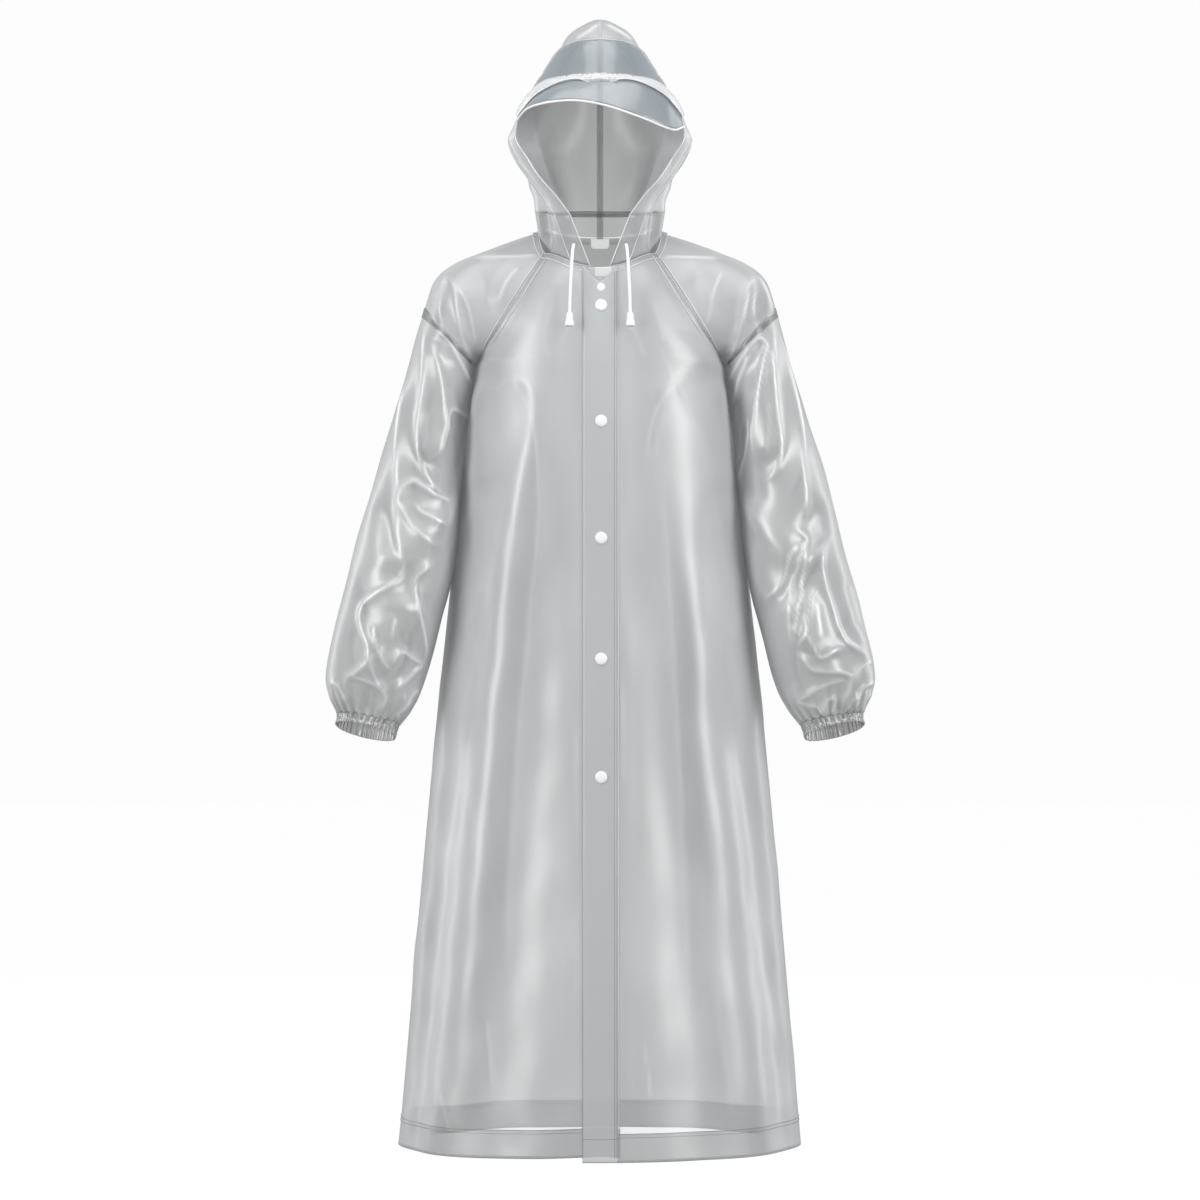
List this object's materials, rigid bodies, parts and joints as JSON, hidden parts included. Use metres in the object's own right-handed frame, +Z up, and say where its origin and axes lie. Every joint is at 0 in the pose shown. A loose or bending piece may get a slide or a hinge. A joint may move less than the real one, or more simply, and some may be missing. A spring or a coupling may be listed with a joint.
{
  "type": "hooded raincoat",
  "caption": "Long hooded raincoat of translucent film, filled out as worn, with raglan shoulders, elastic cuffs, a snapped placket, a clear visor and a drawcord.",
  "frame": {"origin": "inside the neck, level with the tops of the shoulders, where the wearer holds the coat up", "axes": "+Z up, the front faces -Y, the wearer's left is +X"},
  "size_m": [0.7038, 0.3681, 1.4634],
  "materials": {
    "film": "satin translucent film",
    "clear_film": "clear, glossy, faintly blue film",
    "white_trim": "smooth white plastic and cord"
  },
  "bodies": {
    "root": {"front_left": "film", "front_right": "film", "back": "film", "shoulder_left": "film", "shoulder_right": "film", "sleeve_left": "film", "sleeve_right": "film", "cuff_left": "film", "cuff_right": "film", "placket": "film", "hem_front_left": "film", "hem_front_right": "film", "hem_back": "film", "hood_left": "film", "hood_right": "film", "collar_left": "film", "collar_right": "film", "casing_left": "film", "casing_right": "film", "neck_binding": "film", "visor_window": "clear_film", "visor_brim": "clear_film", "visor_band": "white_trim", "visor_piping": "white_trim", "hanger_tab": "white_trim", "snap_cap_1": "white_trim", "snap_cap_2": "white_trim", "snap_cap_3": "white_trim", "snap_cap_4": "white_trim", "snap_cap_5": "white_trim", "snap_cap_6": "white_trim", "snap_back_1": "white_trim", "snap_back_2": "white_trim", "snap_back_3": "white_trim", "snap_back_4": "white_trim", "snap_back_5": "white_trim", "snap_back_6": "white_trim", "cord_left": "white_trim", "cord_right": "white_trim", "cord_end_left": "white_trim", "cord_end_right": "white_trim"}
  },
  "joints": []
}
